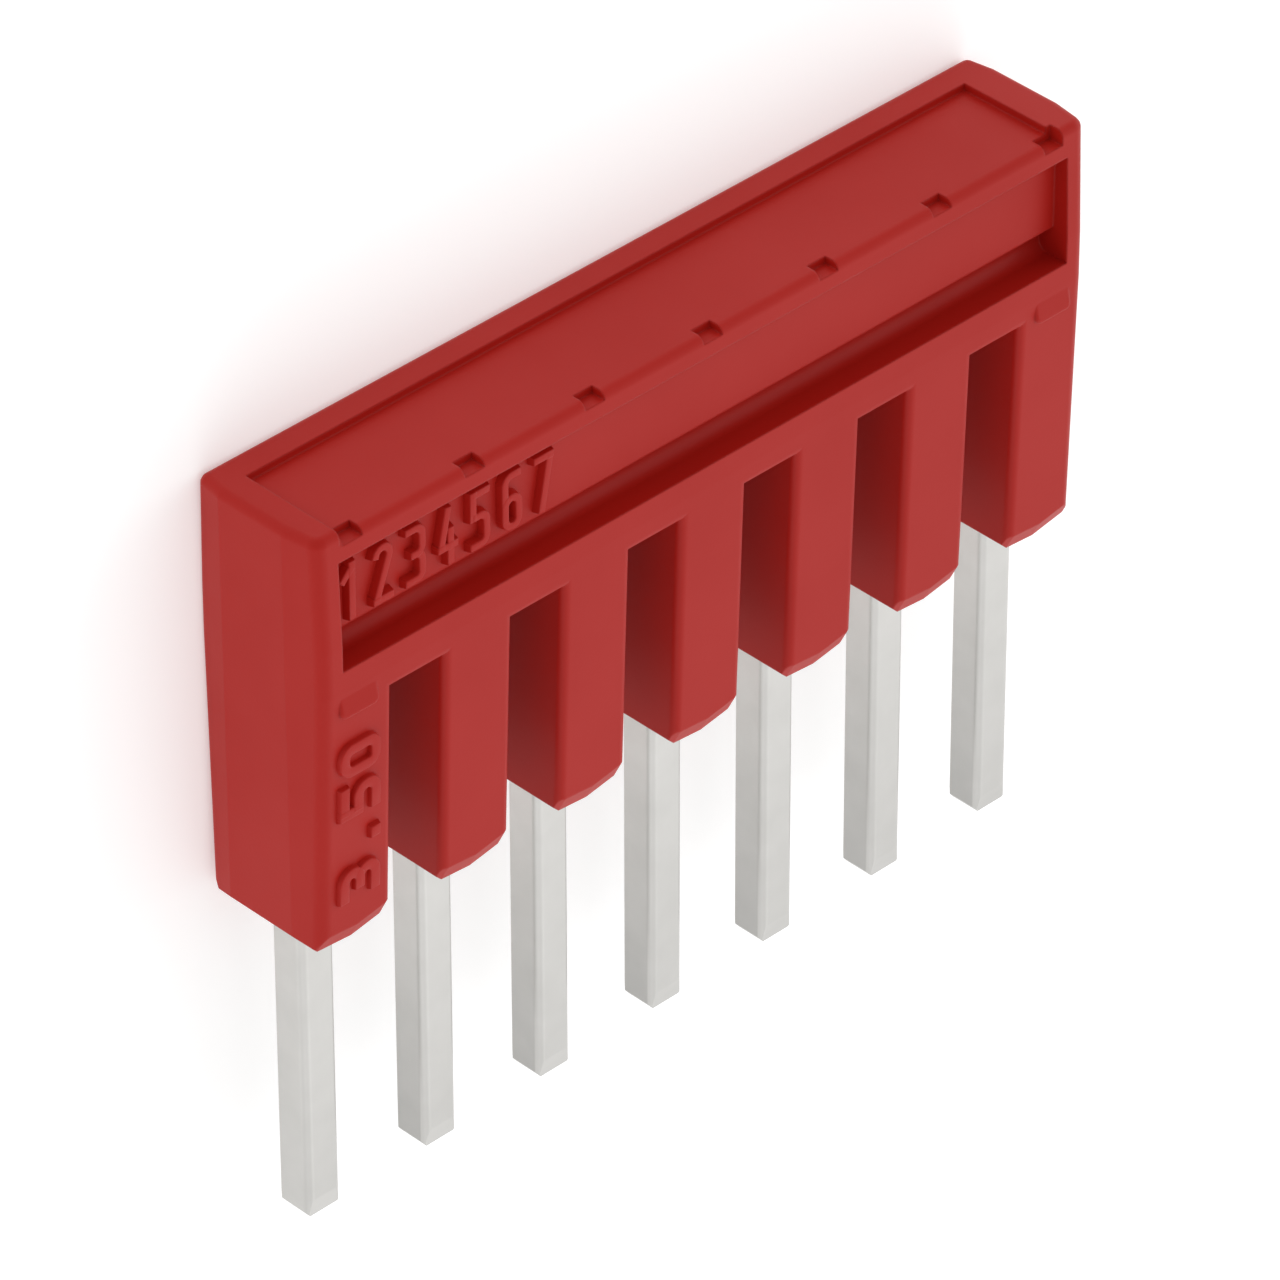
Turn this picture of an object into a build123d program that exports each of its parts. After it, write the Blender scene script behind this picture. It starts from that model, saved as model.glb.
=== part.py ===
from build123d import *
import math
import os

# Insulated terminal jumper: one stamped contact comb with a plastic body moulded round it.
# All sizes in millimetres. The jumper lies on its plain back face: X runs along the row of
# pins, Y points out of the pin tips, Z up out of the face with the marking window. The origin
# is the centre of the footprint, on the surface that the back face rests on.

# The row
ways = 7
pitch = 3.5

# Contact comb, stamped from one strip and tinned
pin_width = 0.99
strip_thickness = 0.915
pin_reach = 8.2             # bare pin beyond the foot of a leg
pin_front_radius = 0.20     # the two upper edges of a pin, rolled off by the press
pin_back_radius = 0.06
tip_bevel_length = 0.12     # small corner bevels at the end of a pin
tip_bevel_depth = 0.09
tip_taper_length = 0.45     # the pin thins a little towards its end
tip_taper_depth = 0.06
bus_width = 2.6             # the bar inside the head that joins all pins
bus_cover = 1.2             # plastic between the bar and the top of the head
comb_height = 1.43          # underside of the strip above the back face

# Moulded body, main forms
body_thickness = 3.81
head_height = 4.62          # top of the head to the roof of the slots
leg_length = 6.28
leg_width = 2.0             # at its widest
end_flank = 1.134           # centre of the end pin to the end face
front_draft = 1.9           # degrees, front face, both ways from the parting band
back_draft = 1.3            # degrees, back face, the same way
band_start = 2.85           # the undrafted band, measured from the top of the head
band_length = 1.2

# End faces and flanks of the legs: flat in the middle, leaning in towards back and front
flank_back_height = 0.83    # height of the lower leaning strip
flank_front_height = 1.04   # height of the upper leaning strip
end_back_lean = 0.14
end_front_lean = 0.15
leg_back_lean = 0.07

# Rounded edges
end_edge_radius = 0.32
end_back_radius = 0.20
top_radius = 0.21
mouth_radius = 0.20         # front edges of the slots between the legs
mouth_back_radius = 0.12

# Foot of each leg: it reaches furthest at the pin and rises from there to both flanks
rise_to_high_x = 0.08       # for each millimetre from the middle of the pin
rise_to_low_x = 0.163
foot_corner_bevel = 0.16
lead_in_depth = 0.20        # bevel on the front and back of the foot
lead_in_height = 0.39

# Shallow recess in the top of the head, open to the front
recess_depth = 0.18
recess_near_rim = 0.78      # rim at the end where the numbers start
recess_far_rim = 1.00
recess_back_rim = 0.85
recess_lip_radius = 0.22

# One small notch in the front edge of the recess over each pin
notch_width = 0.56
notch_length = 0.39         # back from the front face
notch_depth = 0.18          # below the floor of the recess

# Marking window in the front face of the head
window_end_margin = 0.71    # end face to the side of the window
window_start = 0.74         # top of the head to the window
marking_height = 2.0
marking_depth = 0.44
groove_height = 0.76        # deeper groove below the marking surface
groove_depth = 0.87
groove_radius = 0.30

# Two small ramps on the front of the end legs
ramp_width = 1.10
ramp_length = 0.52
ramp_rise = 0.12
ramp_start = 4.18           # from the top of the head
ramp_corner_radius = 0.16
ramp_radius = 0.07

# Places worked out from the sizes
spare = 1.0                 # how far a cutting shape reaches past the face that it cuts
row_half = pitch * (ways - 1) / 2
end_x = row_half + end_flank
overall = head_height + leg_length + pin_reach
top_y = -overall / 2
roof_y = top_y + head_height
foot_y = roof_y + leg_length
tip_y = foot_y + pin_reach
front_slope = math.tan(math.radians(front_draft))
back_slope = math.tan(math.radians(back_draft))
band_top_y = top_y + band_start
band_foot_y = band_top_y + band_length
slot_half = (pitch - leg_width) / 2


def pin_centres():
    """X of each pin."""
    return [pitch * i - row_half for i in range(ways)]


def slot_centres():
    """X of each slot, midway between two pins."""
    return [x + pitch / 2 for x in pin_centres()[:-1]]


def from_band(y):
    """How far a place along the part lies outside the undrafted band."""
    return max(band_top_y - y, y - band_foot_y, 0)


def front_z(y):
    """Height of the drafted front face at a place along the part."""
    return body_thickness - from_band(y) * front_slope


def back_z(y):
    """Height of the drafted back face at a place along the part."""
    return from_band(y) * back_slope


def along_y(profile, start, end):
    """A profile drawn in the XZ plane, extruded from one Y to another."""
    return Pos(0, end, 0) * extrude(profile, end - start)


def across_x(profile, half_length):
    """A profile drawn in the YZ plane, extruded the same way to both sides."""
    return extrude(profile, half_length, both=True)


def side_view():
    """Outline of head and leg from the side, drafted both ways from the band."""
    corners = [
        (top_y, back_z(top_y)),
        (band_top_y, 0),
        (band_foot_y, 0),
        (foot_y, back_z(foot_y)),
        (foot_y, front_z(foot_y)),
        (band_foot_y, body_thickness),
        (band_top_y, body_thickness),
        (top_y, front_z(top_y)),
    ]
    return make_face(Plane.YZ * Polyline(*corners, close=True))


def row_view():
    """Outline of the whole row along the pins, with its leaning end strips."""
    half = [
        (end_x - end_back_lean, 0),
        (end_x, flank_back_height),
        (end_x, body_thickness - flank_front_height),
        (end_x - end_front_lean, body_thickness),
    ]
    mirrored = [(-x, z) for x, z in reversed(half)]
    return make_face(Plane.XZ * Polyline(*half, *mirrored, close=True))


def slot_view(x):
    """Outline of one slot along the pins: straight, but wider towards the back."""
    back_half = slot_half + leg_back_lean
    right = [
        (x + back_half, -spare),
        (x + back_half, 0),
        (x + slot_half, flank_back_height),
        (x + slot_half, body_thickness + spare),
    ]
    left = [(2 * x - px, z) for px, z in reversed(right)]
    return make_face(Plane.XZ * Polyline(*right, *left, close=True))


def rounded_end_edges(block):
    """Round the front and back edges of the end faces."""

    def is_front(edge):
        c = edge.center()
        return abs(c.X) > end_x - end_front_lean - 0.01 and c.Z > front_z(foot_y) - 0.01

    def is_back(edge):
        c = edge.center()
        return abs(c.X) > end_x - end_back_lean - 0.01 and c.Z < back_z(foot_y) + 0.01

    block = fillet(block.edges().filter_by(is_front), end_edge_radius)
    return fillet(block.edges().filter_by(is_back), end_back_radius)


def rounded_mouths(block):
    """Round the edges where the slots open into the front and back faces."""

    def in_slot(edge):
        c = edge.center()
        nearest = min(abs(c.X - x) for x in slot_centres())
        return nearest < slot_half + leg_back_lean + 0.02 and roof_y - 0.05 < c.Y < foot_y - 0.1

    def is_front(edge):
        return in_slot(edge) and edge.center().Z > front_z(foot_y) - 0.01

    def is_back(edge):
        return in_slot(edge) and edge.center().Z < back_z(foot_y) + 0.01

    block = fillet(block.edges().filter_by(is_front), mouth_radius)
    return fillet(block.edges().filter_by(is_back), mouth_back_radius)


def rounded_top(block):
    """Round the edges all the way round the top of the head."""

    def is_top(edge):
        return edge.bounding_box().max.Y < top_y + 0.001

    return fillet(block.edges().filter_by(is_top), top_radius)


def leg_flanks(x):
    """X of the two flanks of the leg round a pin; the end legs reach to the end faces."""
    low_x = -end_x if x < pitch / 2 - row_half else x - leg_width / 2
    high_x = end_x if x > row_half - pitch / 2 else x + leg_width / 2
    return low_x, high_x


def beyond_foot(x):
    """What lies past the foot of one leg, seen from the front, reaching into the slots beside it."""
    low_x, high_x = leg_flanks(x)
    reach = slot_half / 2
    bevel = foot_corner_bevel
    high_y = foot_y - rise_to_high_x * (high_x - bevel - x)
    low_y = foot_y - rise_to_low_x * (x - low_x - bevel)
    outline = Polyline(
        (high_x + reach, high_y - bevel),
        (high_x, high_y - bevel),
        (high_x - bevel, high_y),
        (x, foot_y),
        (low_x + bevel, low_y),
        (low_x, low_y - bevel),
        (low_x - reach, low_y - bevel),
        (low_x - reach, foot_y + spare),
        (high_x + reach, foot_y + spare),
        close=True,
    )
    return make_face(outline)


def foot_waste(x):
    """What is cut off one foot: its shape from the front, and the lead-in at front and back."""
    profile = beyond_foot(x)
    waste = Pos(0, 0, -spare) * extrude(profile, body_thickness + 2 * spare)
    slant = 2 * math.hypot(lead_in_depth, lead_in_height)   # out past the face
    front = Pos(0, 0, front_z(foot_y) - lead_in_depth) * profile
    back = Pos(0, 0, back_z(foot_y) + lead_in_depth) * profile
    waste += extrude(front, slant, dir=(0, -lead_in_height, lead_in_depth))
    waste += extrude(back, slant, dir=(0, -lead_in_height, -lead_in_depth))
    return waste


def top_recess():
    """Cutting shape of the shallow recess, with a rounded lip where it meets the front."""
    floor_y = top_y + recess_depth
    lip_y = floor_y + recess_lip_radius
    face_z = front_z(lip_y)
    lip_z = face_z - recess_lip_radius
    bulge = recess_lip_radius * (1 - math.sqrt(0.5))
    above = Polyline(
        (lip_y, face_z),
        (lip_y, face_z + spare),
        (top_y - spare, face_z + spare),
        (top_y - spare, recess_back_rim),
        (floor_y, recess_back_rim),
        (floor_y, lip_z),
    )
    lip = ThreePointArc((floor_y, lip_z), (floor_y + bulge, face_z - bulge), (lip_y, face_z))
    profile = make_face(Plane.YZ * (above + lip))
    low_x = -end_x + recess_far_rim
    high_x = end_x - recess_near_rim
    return Pos(low_x, 0, 0) * extrude(profile, high_x - low_x)


def notch(x):
    """Cutting shape of one notch over a pin, open to the front and the top."""
    low_z = front_z(top_y) - notch_length
    depth = spare + recess_depth + notch_depth
    height = notch_length + spare
    centre = (x, top_y - spare + depth / 2, low_z + height / 2)
    return Pos(*centre) * Box(notch_width, depth, height)


def window():
    """Cutting shape of the marking window: a shallow field above a deeper rounded groove."""
    start_y = top_y + window_start
    step_y = start_y + marking_height
    end_y = step_y + groove_height
    out_z = body_thickness + spare
    field_z = body_thickness - marking_depth
    deep_z = body_thickness - groove_depth
    bulge = groove_radius * (1 - math.sqrt(0.5))
    walls = Polyline(
        (end_y, deep_z + groove_radius),
        (end_y, out_z),
        (start_y, out_z),
        (start_y, field_z),
        (step_y, field_z),
        (step_y, deep_z),
        (end_y - groove_radius, deep_z),
    )
    corner = ThreePointArc(
        (end_y - groove_radius, deep_z),
        (end_y - bulge, deep_z + bulge),
        (end_y, deep_z + groove_radius),
    )
    return across_x(make_face(Plane.YZ * (walls + corner)), end_x - window_end_margin)


def ramp(x):
    """A small ramp on an end leg, rising towards the foot and ending in a rounded step."""
    start_y = top_y + ramp_start
    end_y = start_y + ramp_length
    profile = Plane.YZ * Polyline(
        (start_y, front_z(start_y)),
        (end_y, front_z(end_y) + ramp_rise),
        (end_y, front_z(end_y) - ramp_rise),
        (start_y, front_z(start_y) - ramp_rise),
        close=True,
    )
    wedge = extrude(make_face(profile), ramp_width / 2, both=True)
    corners = wedge.edges().filter_by(Axis.Z).filter_by(lambda e: e.center().Y > end_y - 0.01)
    wedge = fillet(corners, ramp_corner_radius)
    crest = wedge.edges().filter_by(lambda e: e.center().Z > front_z(start_y) + ramp_rise / 4)
    return Pos(x, 0, 0) * fillet(crest, ramp_radius)


def pin(x):
    """One pin from the bus bar to its tip, edges rounded and the end bevelled."""
    start_y = top_y + bus_cover + bus_width / 2
    half = pin_width / 2
    bevel_y = tip_y - tip_bevel_length
    outline = Polyline(
        (-half, start_y),
        (half, start_y),
        (half, bevel_y),
        (half - tip_bevel_depth, tip_y),
        (tip_bevel_depth - half, tip_y),
        (-half, bevel_y),
        close=True,
    )
    blank = Pos(0, 0, comb_height) * extrude(make_face(outline), strip_thickness)
    middle_z = comb_height + strip_thickness / 2
    long_edges = blank.edges().filter_by(Axis.Y)
    upper = long_edges.filter_by(lambda e: e.center().Z > middle_z)
    blank = fillet(upper, pin_front_radius)
    lower = blank.edges().filter_by(Axis.Y).filter_by(lambda e: e.center().Z < comb_height + 0.01)
    blank = fillet(lower, pin_back_radius)
    return Pos(x, 0, 0) * (blank - tip_waste())


def tip_waste():
    """What the taper of the tip takes off the front and back of a pin."""
    low = comb_height
    high = comb_height + strip_thickness
    taper_y = tip_y - tip_taper_length
    half = pin_width
    front = Polyline(
        (taper_y, high),
        (tip_y + tip_taper_length, high - 2 * tip_taper_depth),
        (tip_y + tip_taper_length, high + spare),
        (taper_y, high + spare),
        close=True,
    )
    back = Polyline(
        (taper_y, low),
        (tip_y + tip_taper_length, low + 2 * tip_taper_depth),
        (tip_y + tip_taper_length, low - spare),
        (taper_y, low - spare),
        close=True,
    )
    sides = [across_x(make_face(Plane.YZ * line), half) for line in (front, back)]
    return sides[0] + sides[1]


def contact_comb():
    """Bus bar and pins, one stamping."""
    bar_length = 2 * row_half + pin_width
    bar_centre = (0, top_y + bus_cover + bus_width / 2, comb_height + strip_thickness / 2)
    comb = Pos(*bar_centre) * Box(bar_length, bus_width, strip_thickness)
    for x in pin_centres():
        comb += pin(x)
    return comb


def insulating_body(comb):
    """Head and legs moulded round the comb."""
    block = across_x(side_view(), end_x + spare) & along_y(row_view(), top_y - spare, foot_y + spare)
    body = rounded_end_edges(block)
    for x in slot_centres():
        body -= along_y(slot_view(x), roof_y, foot_y + spare)
    body = rounded_top(rounded_mouths(body))
    for x in pin_centres():
        body -= foot_waste(x)
    body -= top_recess()
    for x in pin_centres():
        body -= notch(x)
    body -= window()
    for x in (-row_half, row_half):
        body += ramp(x)
    return body - comb


comb = contact_comb()
parts = {"contact_comb": comb, "insulating_body": insulating_body(comb)}

os.makedirs("parts", exist_ok=True)
for name, solid in parts.items():
    export_step(solid, f"parts/{name}.step")
    size = solid.bounding_box().size
    print(f"{name}: {solid.volume:.2f} mm3, {size.X:.2f} x {size.Y:.2f} x {size.Z:.2f} mm")
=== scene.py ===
import math

import bpy
import numpy as np
from mathutils import Matrix, Vector


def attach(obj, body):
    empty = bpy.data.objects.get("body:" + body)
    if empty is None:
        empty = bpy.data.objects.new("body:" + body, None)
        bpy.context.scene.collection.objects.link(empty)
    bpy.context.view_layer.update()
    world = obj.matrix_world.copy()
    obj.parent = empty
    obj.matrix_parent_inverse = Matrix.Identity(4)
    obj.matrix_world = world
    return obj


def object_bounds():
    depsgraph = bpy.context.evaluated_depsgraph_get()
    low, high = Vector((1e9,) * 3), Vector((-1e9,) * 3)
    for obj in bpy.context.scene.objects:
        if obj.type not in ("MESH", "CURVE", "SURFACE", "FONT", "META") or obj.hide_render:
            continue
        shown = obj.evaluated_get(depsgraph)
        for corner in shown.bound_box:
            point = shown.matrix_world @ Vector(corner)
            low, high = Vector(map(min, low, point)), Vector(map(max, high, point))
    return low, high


# insulated terminal jumper: finishes, raised numbers, floor, light and camera
# metres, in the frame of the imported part: X along the row, Y out of the pin tips, Z up out of the window

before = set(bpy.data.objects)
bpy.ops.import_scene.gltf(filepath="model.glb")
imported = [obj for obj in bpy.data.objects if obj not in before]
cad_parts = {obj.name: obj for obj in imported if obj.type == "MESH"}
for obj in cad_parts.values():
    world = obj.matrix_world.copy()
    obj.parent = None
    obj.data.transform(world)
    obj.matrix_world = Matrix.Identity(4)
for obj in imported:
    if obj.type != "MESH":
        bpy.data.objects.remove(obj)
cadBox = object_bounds()
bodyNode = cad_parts["insulating_body"]
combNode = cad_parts["contact_comb"]
mm = 0.001
print("frame loaded")


# node helpers

noiseMiddle = (0.3, 0.7)      # where most of a noise lies
bevelSamples = 6


def newMaterial(name):
    material = bpy.data.materials.new(name)
    material.use_nodes = True
    tree = material.node_tree
    shader = tree.nodes["Principled BSDF"]
    return material, tree, shader


def addNode(tree, kind, **inputs):
    # sets inputs by name; an underscore stands for a space
    node = tree.nodes.new(kind)
    for name, value in inputs.items():
        node.inputs[name.replace("_", " ")].default_value = value
    return node


def objectNoise(tree, scale, detail=3.0, stretch=(1.0, 1.0, 1.0)):
    # noise on the object's own coordinates, in features per metre; stretch squeezes it along an axis
    place = tree.nodes.new("ShaderNodeTexCoord")
    mapping = addNode(tree, "ShaderNodeMapping", Scale=stretch)
    noise = addNode(tree, "ShaderNodeTexNoise", Scale=scale, Detail=detail)
    tree.links.new(place.outputs["Object"], mapping.inputs["Vector"])
    tree.links.new(mapping.outputs["Vector"], noise.inputs["Vector"])
    return noise.outputs["Fac"]


def spread(tree, value, low, high):
    # takes the middle part of a noise to the range low to high
    node = addNode(
        tree, "ShaderNodeMapRange",
        From_Min=noiseMiddle[0], From_Max=noiseMiddle[1], To_Min=low, To_Max=high,
    )
    tree.links.new(value, node.inputs["Value"])
    return node.outputs["Result"]


def mixColours(tree, factor, first, second):
    # a mix node in colour mode: socket 0 is the factor, 6 and 7 are the colours, 2 is the result
    mix = tree.nodes.new("ShaderNodeMix")
    mix.data_type = "RGBA"
    mix.inputs[6].default_value = (*first, 1)
    mix.inputs[7].default_value = (*second, 1)
    tree.links.new(factor, mix.inputs[0])
    return mix.outputs[2]


def edgeNormal(tree, radius):
    # softens the look of sharp edges by this radius
    bevel = tree.nodes.new("ShaderNodeBevel")
    bevel.samples = bevelSamples
    bevel.inputs["Radius"].default_value = radius
    return bevel.outputs["Normal"]


def addBump(tree, height, depth, normal):
    bump = addNode(tree, "ShaderNodeBump", Strength=1.0, Distance=depth)
    tree.links.new(height, bump.inputs["Height"])
    tree.links.new(normal, bump.inputs["Normal"])
    return bump.outputs["Normal"]


# red moulding

redMoulding = {
    "colour": (0.417, 0.0114, 0.0066),
    "darkColour": (0.400, 0.0105, 0.0060),
    "cloudSize": 2.6 * mm,        # slow drift of the pigment
    "grainSize": 0.075 * mm,      # texture of the spark-cut mould
    "grainDepth": 0.0016 * mm,
    "waveSize": 1.9 * mm,         # slight sink and flow of the moulding
    "waveDepth": 0.004 * mm,
    "roughness": (0.43, 0.49),
    "refraction": 1.5,
    "specular": 0.18,
    "edgeRadius": 0.075 * mm,
    "markEdgeRadius": 0.03 * mm,  # the raised numbers are crisper
}


def makeRedMoulding(name, look, edgeRadius):
    material, tree, shader = newMaterial(name)
    clouds = objectNoise(tree, 1 / look["cloudSize"])
    grain = objectNoise(tree, 1 / look["grainSize"], detail=2.0)
    waves = objectNoise(tree, 1 / look["waveSize"], detail=1.0)
    colour = mixColours(tree, spread(tree, clouds, 0, 1), look["colour"], look["darkColour"])
    roughness = spread(tree, clouds, *look["roughness"])
    normal = edgeNormal(tree, edgeRadius)
    normal = addBump(tree, waves, look["waveDepth"], normal)
    normal = addBump(tree, grain, look["grainDepth"], normal)
    tree.links.new(colour, shader.inputs["Base Color"])
    tree.links.new(roughness, shader.inputs["Roughness"])
    tree.links.new(normal, shader.inputs["Normal"])
    shader.inputs["IOR"].default_value = look["refraction"]
    shader.inputs["Specular IOR Level"].default_value = look["specular"]
    return material


# tinned contact comb

tinnedContact = {
    "colour": (0.626, 0.616, 0.595),
    "dullColour": (0.603, 0.594, 0.573),
    "facePaintedShade": (1.0, 0.87),     # painted shade: the tin is painted a little darker from the legs to the tips
    "flankPaintedShade": (1.11, 0.65),   # painted shade, much stronger on the flanks that face another pin
    "flankFacing": (0.93, 0.99),  # how squarely a surface faces sideways, from no flank to all flank
    "outerFlank": 10.9 * mm,      # the flanks further out than this face no other pin
    "cloudSize": 0.9 * mm,        # matt tin grows in soft patches
    "grainSize": 0.05 * mm,
    "grainDepth": 0.0010 * mm,
    "streakSize": 0.06 * mm,      # rolling lines along the pins
    "streakLength": 14,           # times longer than wide
    "streakDepth": 0.0016 * mm,
    "roughness": (0.37, 0.43),
    "edgeRadius": 0.03 * mm,
}


def rampAlongPins(tree, along, shades):
    # even change from the feet of the legs to the tips
    legFoot = max(corner[1] for corner in bodyNode.bound_box)
    ramp = addNode(
        tree, "ShaderNodeMapRange",
        From_Min=legFoot, From_Max=cadBox[1][1], To_Min=shades[0], To_Max=shades[1],
    )
    tree.links.new(along, ramp.inputs["Value"])
    return ramp.outputs["Result"]


def doMath(tree, operation, first, second=None):
    # second is a number, another node's output, or nothing
    node = tree.nodes.new("ShaderNodeMath")
    node.operation = operation
    tree.links.new(first, node.inputs[0])
    if isinstance(second, float):
        node.inputs[1].default_value = second
    elif second:
        tree.links.new(second, node.inputs[1])
    return node.outputs[0]


def paintedShadeAlongPins(tree, colour, look):
    # multiplies a colour by one ramp on the faces and by another on the flanks between the pins; both ramps
    # are painted shade that darkens towards the tips
    place = tree.nodes.new("ShaderNodeTexCoord")
    position = tree.nodes.new("ShaderNodeSeparateXYZ")
    facing = tree.nodes.new("ShaderNodeSeparateXYZ")
    tree.links.new(place.outputs["Object"], position.inputs["Vector"])
    tree.links.new(place.outputs["Normal"], facing.inputs["Vector"])
    notFlank, allFlank = look["flankFacing"]
    sideways = addNode(tree, "ShaderNodeMapRange", From_Min=notFlank, From_Max=allFlank)
    tree.links.new(doMath(tree, "ABSOLUTE", facing.outputs["X"]), sideways.inputs["Value"])
    inner = doMath(tree, "LESS_THAN", doMath(tree, "ABSOLUTE", position.outputs["X"]), look["outerFlank"])
    shade = tree.nodes.new("ShaderNodeMix")     # in number mode: 2 and 3 are the numbers, 0 is the result
    tree.links.new(doMath(tree, "MULTIPLY", sideways.outputs["Result"], inner), shade.inputs[0])
    tree.links.new(rampAlongPins(tree, position.outputs["Y"], look["facePaintedShade"]), shade.inputs[2])
    tree.links.new(rampAlongPins(tree, position.outputs["Y"], look["flankPaintedShade"]), shade.inputs[3])
    multiply = tree.nodes.new("ShaderNodeMix")
    multiply.data_type = "RGBA"
    multiply.blend_type = "MULTIPLY"
    multiply.inputs[0].default_value = 1.0
    tree.links.new(colour, multiply.inputs[6])
    tree.links.new(shade.outputs[0], multiply.inputs[7])
    return multiply.outputs[2]


def makeTinnedContact(look):
    material, tree, shader = newMaterial("tinnedContact")
    clouds = objectNoise(tree, 1 / look["cloudSize"])
    grain = objectNoise(tree, 1 / look["grainSize"], detail=2.0)
    streaks = objectNoise(tree, 1 / look["streakSize"], stretch=(1, 1 / look["streakLength"], 1))
    colour = mixColours(tree, spread(tree, clouds, 0, 1), look["colour"], look["dullColour"])
    # painted shade along the pins: darker towards the tips, most on the flanks between the pins
    colour = paintedShadeAlongPins(tree, colour, look)
    roughness = spread(tree, clouds, *look["roughness"])
    normal = edgeNormal(tree, look["edgeRadius"])
    normal = addBump(tree, streaks, look["streakDepth"], normal)
    normal = addBump(tree, grain, look["grainDepth"], normal)
    tree.links.new(colour, shader.inputs["Base Color"])
    tree.links.new(roughness, shader.inputs["Roughness"])
    tree.links.new(normal, shader.inputs["Normal"])
    shader.inputs["Metallic"].default_value = 1.0
    return material


def paint(node, material):
    for slot in node.material_slots:
        slot.material = material


redPlastic = makeRedMoulding("redMoulding", redMoulding, redMoulding["edgeRadius"])
redMarks = makeRedMoulding("redMarks", redMoulding, redMoulding["markEdgeRadius"])
brightTin = makeTinnedContact(tinnedContact)
paint(bodyNode, redPlastic)
paint(combNode, brightTin)
print("finishes made")


# raised numbers: strokes of even width, each a ridge with drafted walls

numberShape = {                   # shares of a number's own width and height
    "waist": 0.56,
    "crossbar": 0.30,
    "oneStem": 0.62,
    "oneFlag": (0.02, 0.76),
    "oneFlagTop": 0.95,
    "threeMiddle": 0.4,
    "fourTop": 0.5,
    "fourStem": (0.72, 0.58),
    "sixHook": 0.92,
    "sevenFoot": 0.36,
    "twoStart": 165,              # degrees
    "pointLength": 20,            # the full point's half length is the corner radius over this
}
shoulderSteps = 4
sharpAngle = 32                   # degrees; flatter creases are shaded smooth
samePlace = 1e-6                  # millimetres


def arc(centre, radius, start, end, steps=15):
    # x = centre x + radius cos t, y = centre y + radius sin t, t from start to end in degrees
    t = np.radians(np.linspace(start, end, steps))
    return np.column_stack((centre[0] + radius * np.cos(t), centre[1] + radius * np.sin(t)))


def run(*corners):
    # straight lines from corner to corner
    return np.array(corners, float)


def joined(*pieces):
    # one line out of several, each starting where the last one ends
    return np.vstack(pieces)


def numberLines(width, height):
    # the strokes of each number as (points, where it ends square): bars and stems with round corners
    part = numberShape
    r = min(width / 2, height / 4)
    middle, waist = height / 2, part["waist"] * height
    crossbar, stem = part["crossbar"] * height, part["oneStem"] * width
    notch = part["threeMiddle"] * width
    flag = (part["oneFlag"][0] * width, part["oneFlag"][1] * height)
    fourTop = (part["fourTop"] * width, height)
    fourX, fourY = part["fourStem"][0] * width, part["fourStem"][1] * height
    pointHalf = r / part["pointLength"]
    lean = math.hypot(r, height - r)
    leave = math.degrees(math.atan2(r - height, -width / 2) + math.acos(r / lean))
    zero = joined(
        arc((width - r, height - r), r, 0, 90), arc((r, height - r), r, 90, 180),
        arc((r, r), r, 180, 270), arc((width - r, r), r, 270, 360),
    )
    two = joined(
        arc((r, height - r), r, part["twoStart"], 90), arc((width - r, height - r), r, 90, leave),
        run((0, 0)),
    )
    threeTop = joined(
        run((0, height)), arc((width - r, height - r), r, 90, 0),
        arc((width - r, middle + r), r, 0, -90), run((notch, middle)),
    )
    threeFoot = joined(
        run((notch, middle)), arc((width - r, middle - r), r, 90, 0),
        arc((width - r, r), r, 0, -90), run((0, 0)),
    )
    fiveBowl = joined(
        run((0, waist)), arc((width - r, waist - r), r, 90, 0),
        arc((width - r, r), r, 0, -90), run((0, 0)),
    )
    sixBowl = joined(
        arc((width - r, waist - r), r, 0, 90), arc((r, waist - r), r, 90, 180),
        arc((r, r), r, 180, 270), arc((width - r, r), r, 270, 360),
    )
    sixBack = joined(
        run((0, r)), arc((r, height - r), r, 180, 90), run((part["sixHook"] * width, height)),
    )
    both, first, last = (1, 1), (1, 0), (0, 1)
    return {
        "0": [(zero, None)],
        "1": [(run((stem, 0), (stem, height)), both),
              (run(flag, (stem, part["oneFlagTop"] * height)), first)],
        "2": [(run((0, 0), (width, 0)), both), (two, first)],
        "3": [(threeTop, both), (threeFoot, both)],
        "4": [(run((0, crossbar), (width, crossbar)), both), (run(fourTop, (0, crossbar)), first),
              (run((fourX, fourY), (fourX, 0)), both)],
        "5": [(fiveBowl, last), (run((0, waist), (0, height)), both),
              (run((0, height), (width, height)), last)],
        "6": [(sixBowl, None), (sixBack, last)],
        "7": [(run((0, height), (width, height)), both),
              (run((width, height), (part["sevenFoot"] * width, 0)), last)],
        ".": [(run((width / 2 - pointHalf, 0), (width / 2 + pointHalf, 0)), both)],
    }


def ridgeSection(style):
    # half section of a ridge as (half width, height): the sunk foot of a drafted wall, then a shoulder
    # half width = inner width + shoulder cos t, height = inner height + shoulder sin t, t from 0 to 90
    top = style["stroke"] / 2
    shoulder = style["shoulder"]
    t = np.radians(np.linspace(0, 90, shoulderSteps))
    wall = [[top + style["draft"], -style["sunk"]]]
    roundPart = np.column_stack((
        top - shoulder + shoulder * np.cos(t),
        style["relief"] - shoulder + shoulder * np.sin(t),
    ))
    return np.vstack((wall, roundPart))


def sideDirections(path, closed):
    # unit directions before and after each point, and the mitred side vector:
    # twice the sum of the two unit normals over the squared length of that sum
    ahead = np.roll(path, -1, axis=0) - path
    if not closed:
        ahead[-1] = ahead[-2]
    length = np.linalg.norm(ahead, axis=1, keepdims=True)
    ahead = ahead / length
    before = np.roll(ahead, 1, axis=0)
    if not closed:
        before[0] = ahead[0]
    normalA = np.column_stack((-before[:, 1], before[:, 0]))
    normalB = np.column_stack((-ahead[:, 1], ahead[:, 0]))
    total = normalA + normalB
    side = 2 * total / (total ** 2).sum(axis=1, keepdims=True)
    return before, ahead, side


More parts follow.
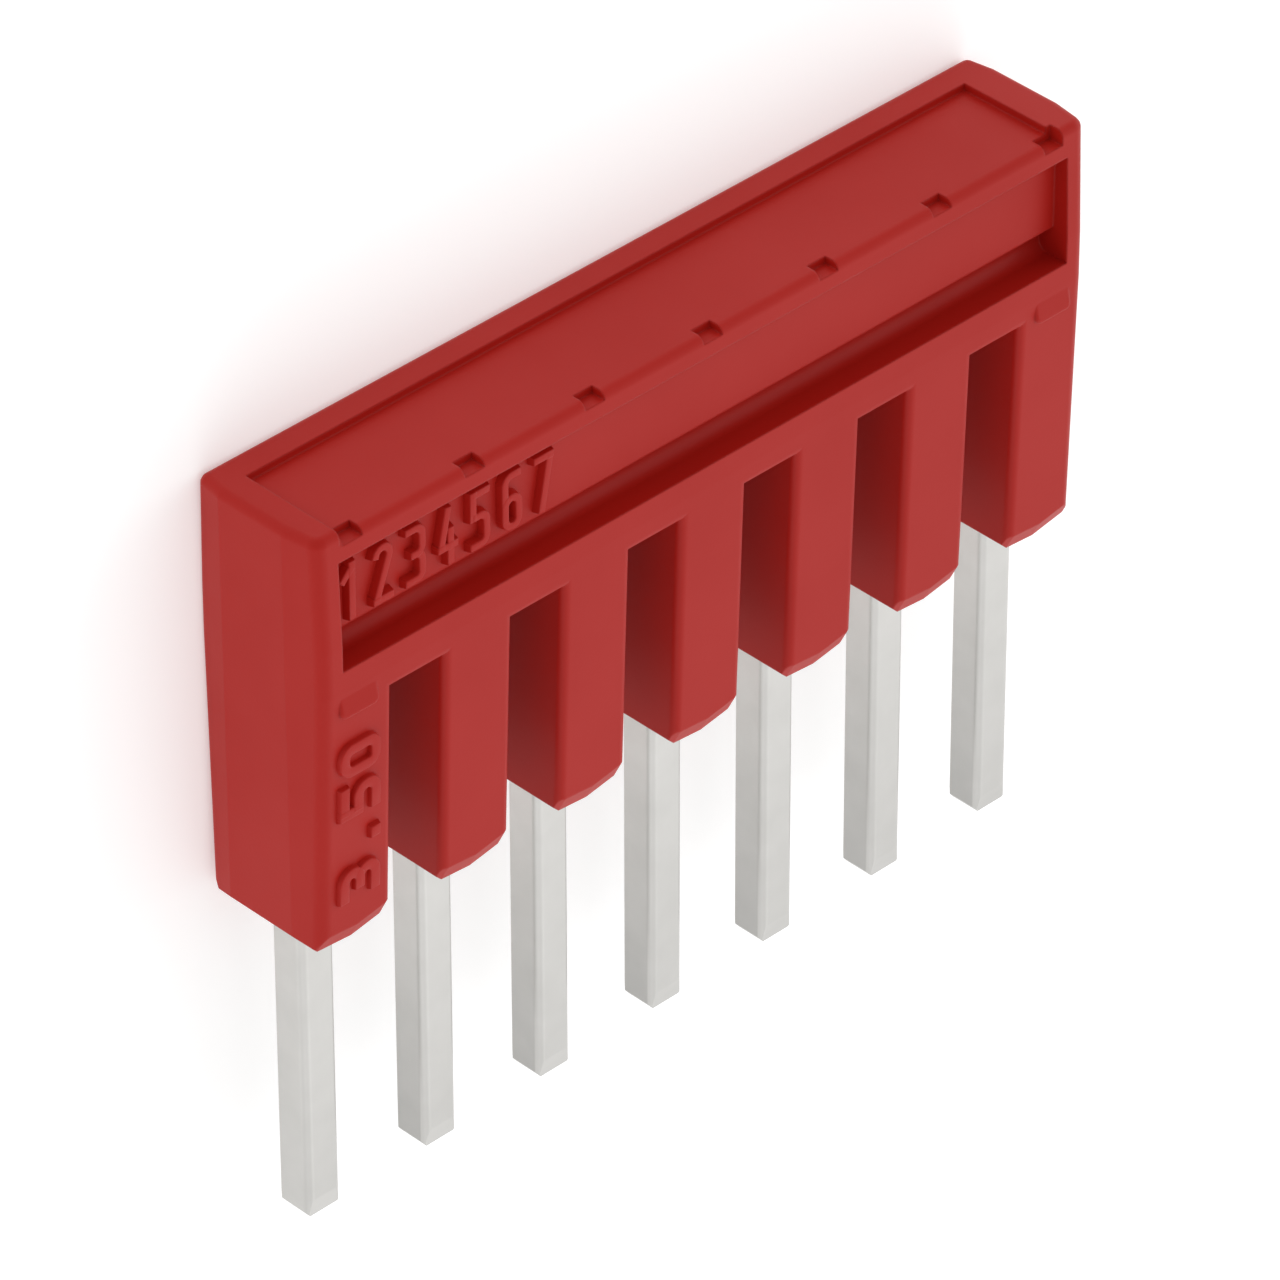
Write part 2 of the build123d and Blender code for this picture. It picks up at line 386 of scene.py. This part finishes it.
def ridge(path, ends, section):
    # point = line point + side vector times half width, at the section's height
    # a square end is moved out along the line by the same half width
    closed = ends is None
    before, ahead, side = sideDirections(path, closed)
    widths = np.concatenate((section[:, 0], -section[::-1, 0]))
    heights = np.concatenate((section[:, 1], section[::-1, 1]))
    flat = path[:, None, :] + side[:, None, :] * widths[None, :, None]
    if not closed:
        reach = np.abs(widths)[:, None]
        flat[0] -= before[0] * reach * ends[0]
        flat[-1] += ahead[-1] * reach * ends[1]
    rows, columns = flat.shape[:2]
    points = np.dstack((flat, np.broadcast_to(heights, (rows, columns)))).reshape(-1, 3)
    i = np.arange(rows if closed else rows - 1)
    j = np.arange(columns)
    a = (i[:, None] * columns + j[None, :]).ravel()
    b = (i[:, None] * columns + (j[None, :] + 1) % columns).ravel()
    c = (((i[:, None] + 1) % rows) * columns + (j[None, :] + 1) % columns).ravel()
    d = (((i[:, None] + 1) % rows) * columns + j[None, :]).ravel()
    faces = np.column_stack((a, b, c, d))
    if not closed:
        k = np.arange(columns // 2 - 1)
        mirror = columns - 1 - k
        cap = np.column_stack((k, mirror, mirror - 1, k + 1))
        faces = np.vstack((faces, cap, cap[:, ::-1] + (rows - 1) * columns))
    return points, faces


def withoutRepeats(path, closed):
    # drops a point that lies on the one before it, and the last of a closed line if it lies on the first
    step = np.linalg.norm(np.diff(path, axis=0), axis=1)
    kept = path[np.concatenate(([True], step > samePlace))]
    meets = closed and np.linalg.norm(kept[0] - kept[-1]) < samePlace
    return kept[:-1] if meets else kept


def writeNumbers(name, text, style, place, material):
    # all ridges in one mesh; place turns (along, up, out) in millimetres into the part's frame in metres
    lines = numberLines(style["width"] - style["stroke"], style["height"] - style["stroke"])
    allPoints, allFaces, count = [], [], 0
    for index, letter in enumerate(text):
        for order, (path, ends) in enumerate(lines[letter]):
            section = ridgeSection(style)
            section[1:, 1] -= order * style["lap"]
            start = np.array([index * style["pitch"] + style["stroke"] / 2, style["stroke"] / 2])
            points, faces = ridge(withoutRepeats(path, ends is None) + start, ends, section)
            allPoints.append(points)
            allFaces.append(faces + count)
            count += len(points)
    mesh = bpy.data.meshes.new(name)
    mesh.from_pydata(place(np.vstack(allPoints)).tolist(), [], np.vstack(allFaces).tolist())
    mesh.polygons.foreach_set("use_smooth", np.ones(len(mesh.polygons), bool))
    mesh.set_sharp_from_angle(angle=math.radians(sharpAngle))
    piece = bpy.data.objects.new(name, mesh)
    bpy.context.scene.collection.objects.link(piece)
    mesh.materials.append(material)
    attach(piece, "root")
    return piece


def surfaceAbove(x, y):
    # height of the body's upper surface over a point, in metres
    hit, point, normal, face = bodyNode.ray_cast(Vector((x, y, cadBox[1][2] + mm)), Vector((0, 0, -1)))
    return point.z


windowNumbers = {          # millimetres
    "text": "1234567",
    "width": 0.58,
    "height": 1.50,
    "stroke": 0.19,
    "pitch": 0.93,
    "relief": 0.20,
    "draft": 0.03,
    "shoulder": 0.03,
    "sunk": 0.02,
    "lap": 0.004,          # a crossing stroke lies this much lower
    "left": 10.72,         # X of the first number's edge
    "foot": -7.02,         # Y of the feet of the numbers
}


def windowPlace(style):
    # the numbers read towards -X with their tops towards -Y, on the flat marking field
    fieldZ = surfaceAbove(style["left"] * mm / 2, (style["foot"] - style["height"] / 2) * mm)

    def place(points):
        return np.column_stack((
            (style["left"] - points[:, 0]) * mm,
            (style["foot"] - points[:, 1]) * mm,
            fieldZ + points[:, 2] * mm,
        ))

    return place


writeNumbers("window_numbers", windowNumbers["text"], windowNumbers, windowPlace(windowNumbers), redMarks)

legNumbers = {             # millimetres
    "text": "3.50",
    "width": 0.86,
    "height": 1.16,
    "stroke": 0.27,
    "pitch": 1.12,
    "relief": 0.115,
    "draft": 0.03,
    "shoulder": 0.03,
    "sunk": 0.03,
    "lap": 0.004,
    "foot": 9.93,          # X of the feet of the numbers
    "start": 0.10,         # Y where the first number starts
}


def legPlace(style):
    # the numbers read towards -Y with their tops towards +X, on the drafted face of the end leg
    length = style["pitch"] * len(style["text"])
    middleX = (style["foot"] + style["height"] / 2) * mm
    nearY = style["start"] * mm
    farY = (style["start"] - length) * mm
    nearZ = surfaceAbove(middleX, nearY)
    slope = (surfaceAbove(middleX, farY) - nearZ) / (farY - nearY)

    def place(points):
        y = (style["start"] - points[:, 0]) * mm
        return np.column_stack((
            (style["foot"] + points[:, 1]) * mm,
            y,
            nearZ + slope * (y - nearY) + points[:, 2] * mm,
        ))

    return place


writeNumbers("leg_numbers", legNumbers["text"], legNumbers, legPlace(legNumbers), redMarks)
print("numbers raised")


# pale floor

paleFloor = {
    "half": 1.2,
    "gridLines": 9,
    "colour": (0.80, 0.80, 0.797),
    "cloudShade": 0.985,          # how dark the faint clouds get
    "cloudsPerMetre": 12,
    "roughness": 0.6,
    "glow": 0.36,                 # the floor shines a little itself, as a light table does
}


def makeFloor(look):
    # z = 0 on a square grid of x and y
    material, tree, shader = newMaterial("paleFloor")
    cloud = objectNoise(tree, look["cloudsPerMetre"])
    shade = tuple(look["cloudShade"] * c for c in look["colour"])
    tree.links.new(mixColours(tree, cloud, look["colour"], shade), shader.inputs["Base Color"])
    shader.inputs["Roughness"].default_value = look["roughness"]
    shader.inputs["Emission Color"].default_value = (1, 1, 1, 1)
    shader.inputs["Emission Strength"].default_value = look["glow"]
    lines = look["gridLines"]
    side = np.linspace(-look["half"], look["half"], lines)
    x, y = np.meshgrid(side, side, indexing="ij")
    points = np.column_stack((x.ravel(), y.ravel(), np.zeros(x.size)))
    i, j = np.meshgrid(np.arange(lines - 1), np.arange(lines - 1), indexing="ij")
    a = (i * lines + j).ravel()
    mesh = bpy.data.meshes.new("pale_floor")
    mesh.from_pydata(points.tolist(), [], np.column_stack((a, a + lines, a + lines + 1, a + 1)).tolist())
    mesh.materials.append(material)
    floor = bpy.data.objects.new("pale_floor", mesh)
    bpy.context.scene.collection.objects.link(floor)


makeFloor(paleFloor)
print("floor laid")


# soft studio light: a pale dome and wide panels round the jumper

studio = {
    "domeStrength": 0.70,
    "domeColour": (1.0, 1.0, 1.0),
    "panelSize": 1.0,             # metres across each round panel
    "panelDistance": 0.8,
    "panels": {                   # where each stands, and its watts
        "overhead": {"direction": (0.0, 0.0, 1.0), "power": 0.42},
        "glossAcross": {"direction": (-0.563, 0.59, 0.578), "power": 1.12},
        "tips": {"direction": (0.1, 0.93, 0.35), "power": 1.80},
        "nearTips": {"direction": (0.75, 0.6, 0.15), "power": 0.70},
        "farEnd": {"direction": (-0.93, -0.1, 0.35), "power": 2.03},
    },
}


def aimAt(place, target):
    direction = Vector(target) - Vector(place)
    return direction.to_track_quat("-Z", "Y").to_matrix().to_4x4()


def makeLight(rig):
    world = bpy.data.worlds.new("dome")
    world.use_nodes = True
    background = world.node_tree.nodes["Background"]
    background.inputs["Color"].default_value = (*rig["domeColour"], 1)
    background.inputs["Strength"].default_value = rig["domeStrength"]
    bpy.context.scene.world = world
    for name, panel in rig["panels"].items():
        light = bpy.data.lights.new(name, "AREA")
        light.shape = "DISK"
        light.size = rig["panelSize"]
        light.energy = panel["power"]
        lamp = bpy.data.objects.new(name, light)
        place = Vector(panel["direction"]).normalized() * rig["panelDistance"]
        lamp.matrix_world = Matrix.Translation(place) @ aimAt(place, (0, 0, 0))
        bpy.context.scene.collection.objects.link(lamp)


makeLight(studio)
print("lights set")


# camera: the photograph's direction on the jumper, turned about the line of sight so that the pins point down

photoView = {
    "aim": (-2.8115, 2.8546, -1.4116),    # millimetres, in the middle of the picture
    "azimuth": 43.6737,
    "elevation": 35.3188,
    "roll": 121.1190,
    "distance": 218.147,
    "lens": 272.529,
    "sensor": 36,
    "clip": (0.005, 20),                  # metres
}


def makeCamera(look):
    azimuth, elevation, roll = (math.radians(look[key]) for key in ("azimuth", "elevation", "roll"))
    back = Vector((
        math.sin(azimuth) * math.cos(elevation),
        -math.cos(azimuth) * math.cos(elevation),
        math.sin(elevation),
    ))
    right = Vector((math.cos(azimuth), math.sin(azimuth), 0))
    up = back.cross(right)
    turn = Matrix((right, up, back)).transposed() @ Matrix.Rotation(roll, 3, "Z")
    place = (Vector(look["aim"]) + back * look["distance"]) * mm
    data = bpy.data.cameras.new("camera")
    data.sensor_width = look["sensor"]
    data.lens = look["lens"]
    data.clip_start, data.clip_end = look["clip"]
    camera = bpy.data.objects.new("camera", data)
    camera.matrix_world = Matrix.Translation(place) @ turn.to_4x4()
    bpy.context.scene.collection.objects.link(camera)
    bpy.context.scene.camera = camera


makeCamera(photoView)
bpy.context.scene.view_settings.view_transform = "Standard"
print("camera placed")
